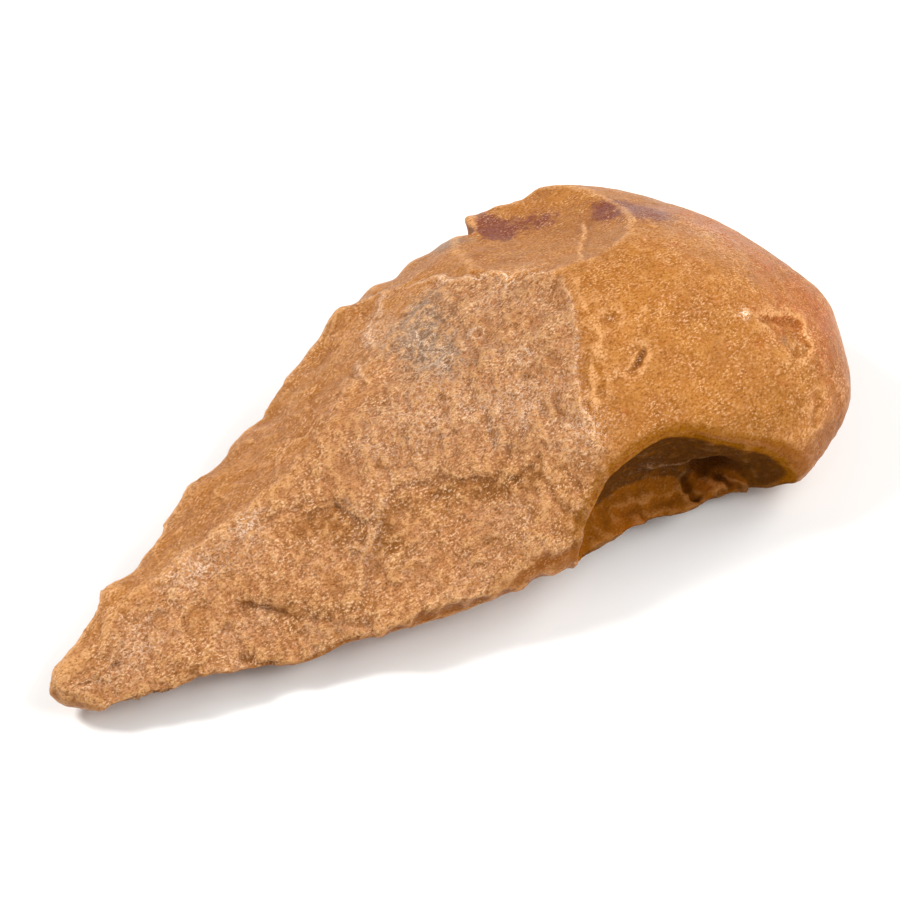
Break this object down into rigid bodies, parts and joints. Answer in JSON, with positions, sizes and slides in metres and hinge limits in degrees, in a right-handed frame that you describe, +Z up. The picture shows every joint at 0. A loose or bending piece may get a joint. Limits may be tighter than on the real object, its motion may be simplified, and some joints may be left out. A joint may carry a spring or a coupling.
{
  "type": "stone hand axe",
  "caption": "Pointed hand axe of knapped quartzite with a smooth round butt for the palm and a deep finger hollow in one side.",
  "frame": {"origin": "on the ground under the middle of the stone's outline", "axes": "the point lies towards -X and the round butt towards +X, the side with the finger hollow faces -Y, the ridged upper face looks up along +Z"},
  "size_m": [0.165, 0.0824, 0.0419],
  "materials": {
    "quartzite": "glossy patinated stone, rougher in the struck scars"
  },
  "bodies": {
    "root": {"hand_axe": "quartzite"}
  },
  "joints": []
}
